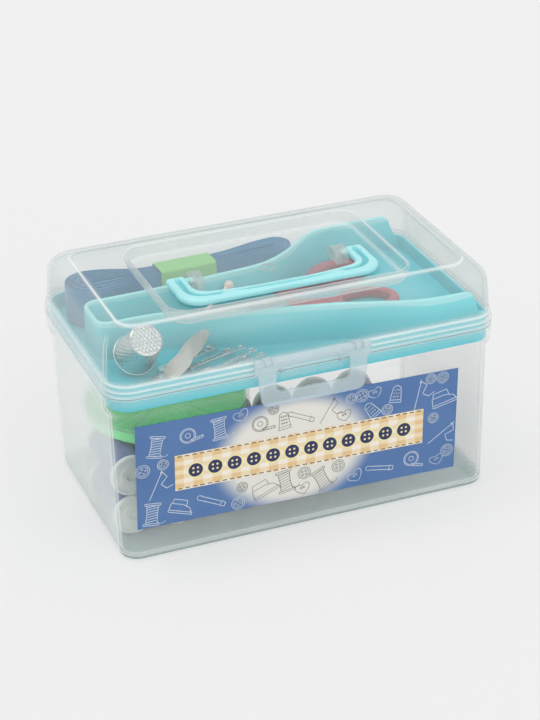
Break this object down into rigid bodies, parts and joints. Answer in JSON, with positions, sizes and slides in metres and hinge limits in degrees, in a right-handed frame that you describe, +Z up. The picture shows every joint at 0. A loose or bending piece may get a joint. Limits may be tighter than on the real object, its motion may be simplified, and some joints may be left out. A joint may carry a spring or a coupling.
{
  "type": "sewing kit",
  "caption": "Sewing kit in a clear plastic carry box: hinged lid with a sunk bail handle, snap latch, lift-out tray with scissors and notions, needle case and thread spools below.",
  "frame": {"origin": "on the floor under the middle of the case", "axes": "+Z up, front with the label and the latch towards -Y, case length along X"},
  "size_m": [0.1828, 0.117, 0.1111],
  "materials": {
    "clear_plastic": "clear moulded plastic with a faint milky tint",
    "milky_plastic": "translucent frosted plastic",
    "turquoise_plastic": "smooth moulded plastic",
    "printed_label": "printed paper, matt",
    "white_plastic": "moulded plastic",
    "green_plastic": "smooth moulded plastic",
    "blue_elastic": "woven elastic",
    "green_paper": "plain paper",
    "red_plastic": "glossy moulded plastic",
    "steel": "bright plated steel",
    "pale_plastic": "moulded plastic",
    "thread_blue": "wound sewing thread",
    "thread_lilac": "wound sewing thread",
    "thread_rose": "wound sewing thread",
    "thread_mauve": "wound sewing thread",
    "thread_slate": "wound sewing thread",
    "thread_cream": "wound sewing thread",
    "thread_grey": "wound sewing thread"
  },
  "bodies": {
    "base": {"base_box": "clear_plastic", "front_label": "printed_label", "insert_tray": "turquoise_plastic", "elastic_hank": "blue_elastic", "hank_band": "green_paper", "scissors_blade_lower": "steel", "scissors_grip_lower": "red_plastic", "scissors_rivet": "steel", "thimble": "steel", "needle_threader_plate": "steel", "needle_threader_bow": "steel", "ball_end_bodkin": "pale_plastic", "safety_pin_wire_1": "steel", "safety_pin_cap_1": "steel", "safety_pin_wire_2": "steel", "safety_pin_cap_2": "steel", "safety_pin_wire_3": "steel", "safety_pin_cap_3": "steel", "needle_case_base": "green_plastic", "needle_case_rivet": "white_plastic", "needle_1": "steel", "needle_2": "steel", "needle_3": "steel", "needle_4": "steel", "spool_1_lower": "white_plastic", "thread_1_lower": "thread_blue", "spool_1_upper": "white_plastic", "thread_1_upper": "thread_blue", "spool_2_lower": "white_plastic", "thread_2_lower": "thread_lilac", "spool_2_upper": "white_plastic", "thread_2_upper": "thread_lilac", "spool_3_lower": "white_plastic", "thread_3_lower": "thread_rose", "spool_3_upper": "white_plastic", "thread_3_upper": "thread_rose", "spool_4_lower": "white_plastic", "thread_4_lower": "thread_mauve", "spool_4_upper": "white_plastic", "thread_4_upper": "thread_mauve", "spool_5_lower": "white_plastic", "thread_5_lower": "thread_slate", "spool_5_upper": "white_plastic", "thread_5_upper": "thread_slate", "spool_6_lower": "white_plastic", "thread_6_lower": "thread_cream", "spool_6_upper": "white_plastic", "thread_6_upper": "thread_cream", "spool_7_lower": "white_plastic", "thread_7_lower": "thread_grey", "spool_7_upper": "white_plastic", "thread_7_upper": "thread_grey"},
    "lid": {"lid_shell": "clear_plastic"},
    "handle": {"carry_handle": "turquoise_plastic"},
    "latch": {"front_latch": "milky_plastic"},
    "needle_cover": {"needle_case_cover": "clear_plastic"},
    "scissors_half": {"scissors_blade_upper": "steel", "scissors_grip_upper": "red_plastic"}
  },
  "joints": [
    {"name": "lid_hinge", "type": "hinge", "parent": "base", "child": "lid", "pos_m": [0, 0.0566, 0.0846], "axis": [-1, 0, 0], "range_deg": [0, 110]},
    {"name": "handle_bail", "type": "hinge", "parent": "lid", "child": "handle", "pos_m": [0, -0.003, 0.1073], "axis": [-1, 0, 0], "range_deg": [0, 180]},
    {"name": "latch_hinge", "type": "hinge", "parent": "lid", "child": "latch", "pos_m": [0, -0.0566, 0.0884], "axis": [-1, 0, 0], "range_deg": [0, 120]},
    {"name": "needle_case_turn", "type": "hinge", "parent": "base", "child": "needle_cover", "pos_m": [-0.0479, 0.0055, 0.0488], "axis": [0, 0, 1], "continuous": true},
    {"name": "scissors_pivot", "type": "hinge", "parent": "base", "child": "scissors_half", "pos_m": [0.004, 0.009, 0.082], "axis": [0, 0, 1], "range_deg": [0, 10]}
  ]
}
